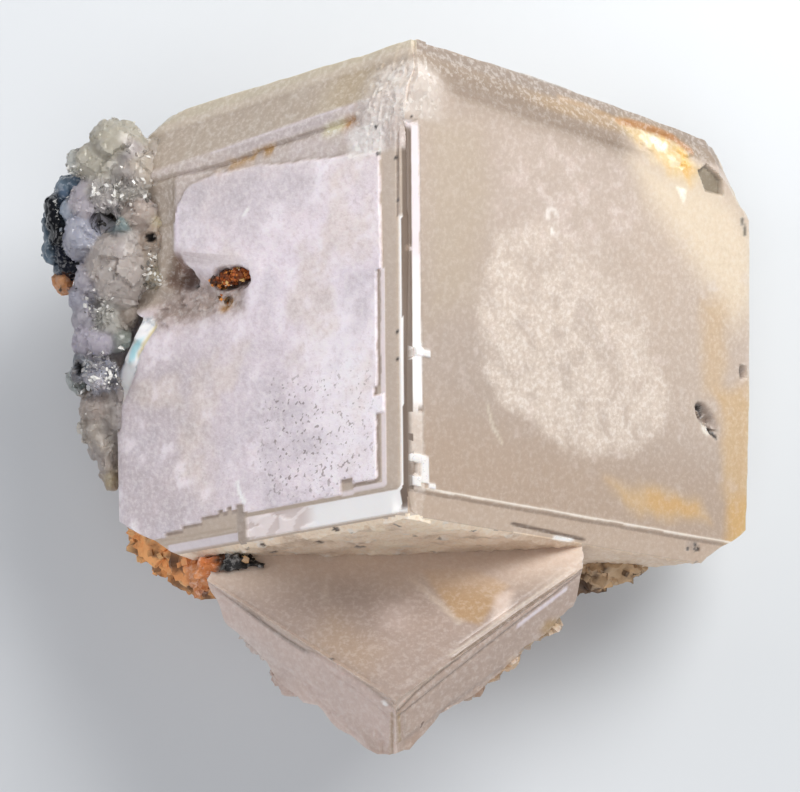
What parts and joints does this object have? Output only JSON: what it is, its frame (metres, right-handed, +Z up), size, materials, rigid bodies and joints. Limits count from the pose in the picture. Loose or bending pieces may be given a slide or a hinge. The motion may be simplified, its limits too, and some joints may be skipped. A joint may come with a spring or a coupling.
{
  "type": "calcite crystal specimen",
  "caption": "Milky rhombohedral calcite crystal with bevelled top edges, grown through by a smaller one, with small grey crystals and a dark crust, on rusty rock cut flat to rest on.",
  "frame": {"origin": "on the flat cut under the rock, below the middle of the outline", "axes": "+Z up, square to the flat cut; +Y along the ridge between the two large crystal faces, away from the smaller crystal; +X towards the right large face"},
  "size_m": [0.05, 0.0452, 0.0293],
  "materials": {
    "calcite": "milky white to beige, frosted faces with a glassy lustre, faint lilac and golden areas",
    "grey_crystal": "translucent grey to beige, glassy, with black specks",
    "dark_mineral": "blue-black, rough, with grey-green rims",
    "rusty_crust": "rust orange to black, grainy and sparkling",
    "matrix": "ochre to dark brown, rough and earthy, with black pits"
  },
  "bodies": {
    "root": {"calcite_crystals": "calcite", "small_crystal_cluster": "grey_crystal", "dark_crust": "dark_mineral", "pocket_crust": "rusty_crust", "matrix_rock": "matrix"}
  },
  "joints": []
}
